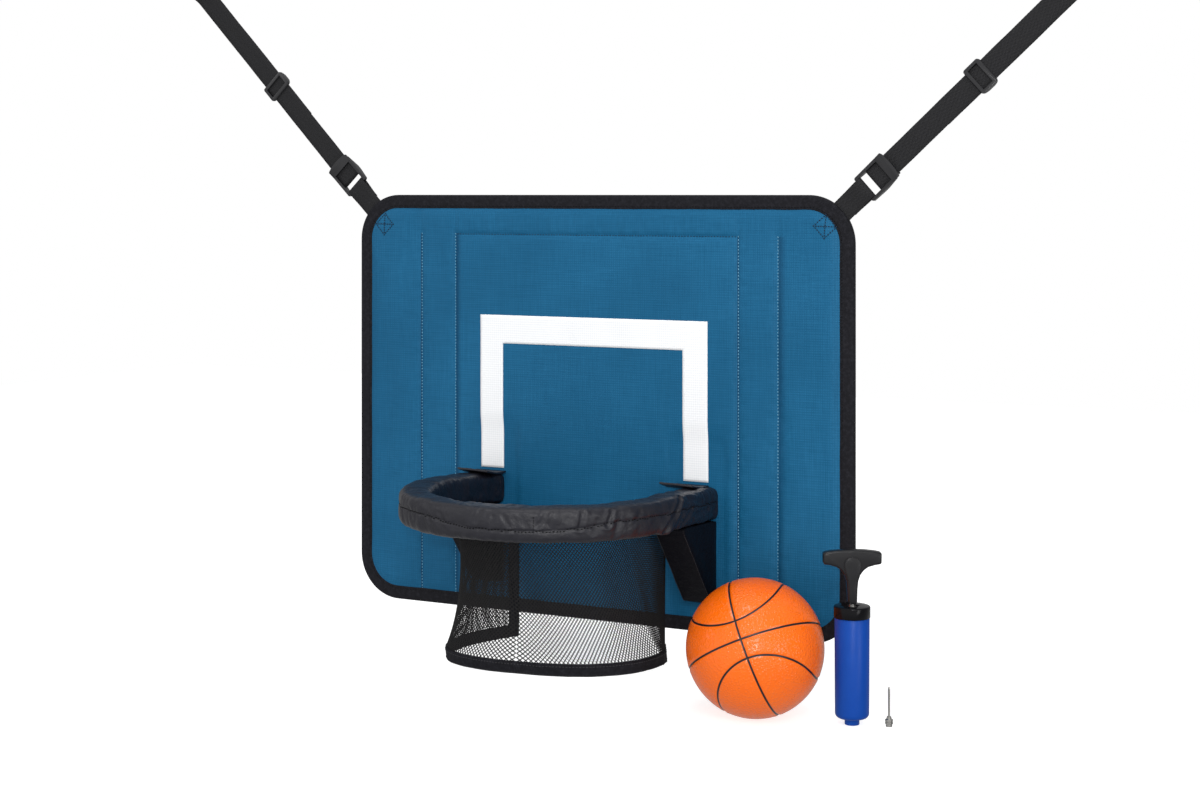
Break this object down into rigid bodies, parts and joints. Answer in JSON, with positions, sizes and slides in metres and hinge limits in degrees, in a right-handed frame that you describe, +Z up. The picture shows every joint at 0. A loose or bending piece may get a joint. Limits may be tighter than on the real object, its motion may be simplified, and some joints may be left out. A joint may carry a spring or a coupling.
{
  "type": "hanging fabric basketball hoop",
  "caption": "Soft fabric backboard with a padded rim and net, hung by two adjustable webbing straps, with a small ball, a hand pump and an inflating needle.",
  "frame": {"origin": "middle of the backboard's flat back face", "axes": "+Z up, +Y out of the back face, -Y towards the player, +X to the right as seen from the front"},
  "size_m": [1.1742, 0.2831, 0.8079],
  "materials": {
    "board_fabric": "woven ripstop nylon",
    "inner_plastic": "plain sheet",
    "binding_tape": "ribbed binding tape",
    "white_print": "matte film",
    "webbing": "woven webbing",
    "buckle_plastic": "moulded acetal",
    "foam": "closed-cell foam",
    "rim_fabric": "coated nylon",
    "net_mesh": "knitted diamond mesh",
    "ball_vinyl": "pebbled vinyl",
    "soft_rubber": "moulded rubber",
    "pump_blue": "moulded gloss",
    "pump_black": "moulded gloss",
    "needle_steel": "plated"
  },
  "bodies": {
    "root": {"front_panel": "board_fabric", "back_panel": "board_fabric", "core_board": "inner_plastic", "stay_left": "inner_plastic", "stay_right": "inner_plastic", "edge_binding": "binding_tape", "target_film": "white_print", "anchor_strap_left": "webbing", "anchor_strap_right": "webbing", "ladder_lock_left": "buckle_plastic", "ladder_lock_right": "buckle_plastic", "hanging_strap_left": "webbing", "hanging_strap_right": "webbing"},
    "slider_left": {"strap_slider_left": "buckle_plastic"},
    "slider_right": {"strap_slider_right": "buckle_plastic"},
    "hoop": {"rim_core": "foam", "rim_cover": "rim_fabric", "rim_tab_left": "rim_fabric", "rim_tab_right": "rim_fabric", "wedge_foam_left": "foam", "wedge_foam_right": "foam", "wedge_cover_left": "rim_fabric", "wedge_cover_right": "rim_fabric", "net": "net_mesh", "net_hem": "binding_tape"},
    "ball": {"ball_shell": "ball_vinyl", "ball_valve": "soft_rubber"},
    "pump": {"pump_barrel": "pump_blue", "pump_cap": "pump_black", "check_valve": "soft_rubber"},
    "plunger": {"pump_handle": "pump_black", "pump_rod": "pump_black", "piston": "pump_black", "piston_seal": "soft_rubber"},
    "needle": {"needle_tube": "needle_steel", "needle_base": "needle_steel"}
  },
  "joints": [
    {"name": "slider_left_slide", "type": "slide", "parent": "root", "child": "slider_left", "axis": [-0.6947, 0, 0.7193], "range_m": [-0.045, 0.12]},
    {"name": "slider_right_slide", "type": "slide", "parent": "root", "child": "slider_right", "axis": [0.7361, 0, 0.6769], "range_m": [-0.045, 0.12]},
    {"name": "hoop_fold", "type": "hinge", "parent": "root", "child": "hoop", "pos_m": [0.003, -0.0083, -0.0746], "axis": [-1, 0, 0], "range_deg": [0, 80]},
    {"name": "ball_lift", "type": "slide", "parent": "root", "child": "ball", "axis": [0, -0.7071, 0.7071], "range_m": [0, 0.15]},
    {"name": "pump_lift", "type": "slide", "parent": "root", "child": "pump", "axis": [0, 0, 1], "range_m": [0, 0.15]},
    {"name": "plunger_pull", "type": "slide", "parent": "pump", "child": "plunger", "axis": [0, 0, 1], "range_m": [0, 0.074]},
    {"name": "needle_lift", "type": "slide", "parent": "root", "child": "needle", "axis": [0, 0, 1], "range_m": [0, 0.1]}
  ]
}
